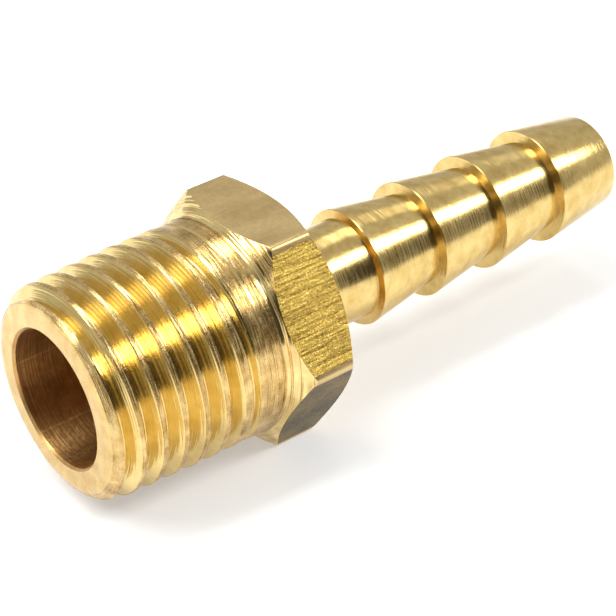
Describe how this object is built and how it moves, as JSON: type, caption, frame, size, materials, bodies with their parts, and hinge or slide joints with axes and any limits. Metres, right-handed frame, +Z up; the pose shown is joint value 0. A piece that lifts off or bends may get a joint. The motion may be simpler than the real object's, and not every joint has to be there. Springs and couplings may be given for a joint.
{
  "type": "hose barb tail",
  "caption": "Brass hose tail turned in one piece: a male taper pipe thread, a hexagon to turn it by, and a barbed spigot for a hose, with a hole right through.",
  "frame": {"origin": "centre of the thread's end face, on the axis of the bore", "axes": "+X along the bore, from the thread to the hose end; +Z up, square to the top flat of the hexagon, as the part lies on the flat opposite; +Y to the corner of the hexagon"},
  "size_m": [0.0415, 0.0164, 0.0142],
  "materials": {
    "brass": "turned and polished"
  },
  "bodies": {
    "root": {"hose_tail": "brass"}
  },
  "joints": []
}
